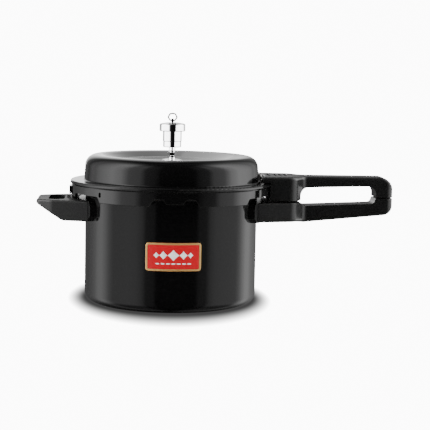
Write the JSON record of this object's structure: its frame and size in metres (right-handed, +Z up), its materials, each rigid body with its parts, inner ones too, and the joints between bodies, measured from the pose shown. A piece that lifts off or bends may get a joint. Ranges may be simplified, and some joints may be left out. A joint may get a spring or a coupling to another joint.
{
  "type": "stovetop pressure cooker",
  "caption": "Stovetop pressure cooker: deep dark pot, twist-lock lid over the rim, long two-part handle, loop helper handle and a lift-off weight valve on a vent tube.",
  "frame": {"origin": "middle of the pot's flat base, on the surface it stands on", "axes": "+Z up, +X along the long handles, -Y towards the badge"},
  "size_m": [0.4229, 0.2394, 0.2238],
  "materials": {
    "anodised": "hard-anodised, semi-gloss black",
    "guard": "black, satin",
    "badge": null,
    "handle_plastic": "moulded black phenolic plastic, satin",
    "steel": "plain steel",
    "chrome": "polished plate",
    "rubber": "matte black rubber",
    "brass": "turned brass",
    "fusible": "dull fusible alloy"
  },
  "bodies": {
    "pot": {"pot_body": "anodised", "front_badge": "badge", "body_handle_bracket": "steel", "body_bracket_rivets": "steel", "body_flame_guard": "guard", "body_handle": "handle_plastic", "body_handle_screws": "steel", "body_handle_washers": "steel", "helper_handle_bracket": "steel", "helper_bracket_rivets": "steel", "helper_flame_guard": "guard", "helper_handle": "handle_plastic", "helper_handle_screw": "steel", "helper_handle_washer": "steel"},
    "lid": {"lid_shell": "anodised", "gasket": "rubber", "lid_handle_bracket": "steel", "lid_bracket_rivets": "steel", "lid_handle": "handle_plastic", "lid_handle_screws": "steel", "lid_handle_washers": "steel", "vent_base_disc": "chrome", "vent_tube": "chrome", "vent_seal_washer": "rubber", "vent_tube_nut": "steel", "safety_plug_body": "brass", "safety_plug_core": "fusible", "safety_plug_seal": "rubber", "safety_plug_nut": "brass"},
    "weight": {"weight_sleeve": "chrome", "weight_body": "chrome", "weight_needle": "brass", "weight_cap": "chrome", "weight_eye_stem": "chrome"},
    "ring": {"weight_ring": "chrome"}
  },
  "joints": [
    {"name": "lid_twist", "type": "hinge", "parent": "pot", "child": "lid", "pos_m": [0, 0, 0.134], "axis": [0, 0, 1], "range_deg": [0, 30]},
    {"name": "weight_lift", "type": "slide", "parent": "lid", "child": "weight", "axis": [0, 0, 1], "range_m": [0, 0.03]},
    {"name": "ring_swing", "type": "hinge", "parent": "weight", "child": "ring", "pos_m": [0, 0, 0.2147], "axis": [1, 0, 0], "range_deg": [-75, 75]}
  ]
}
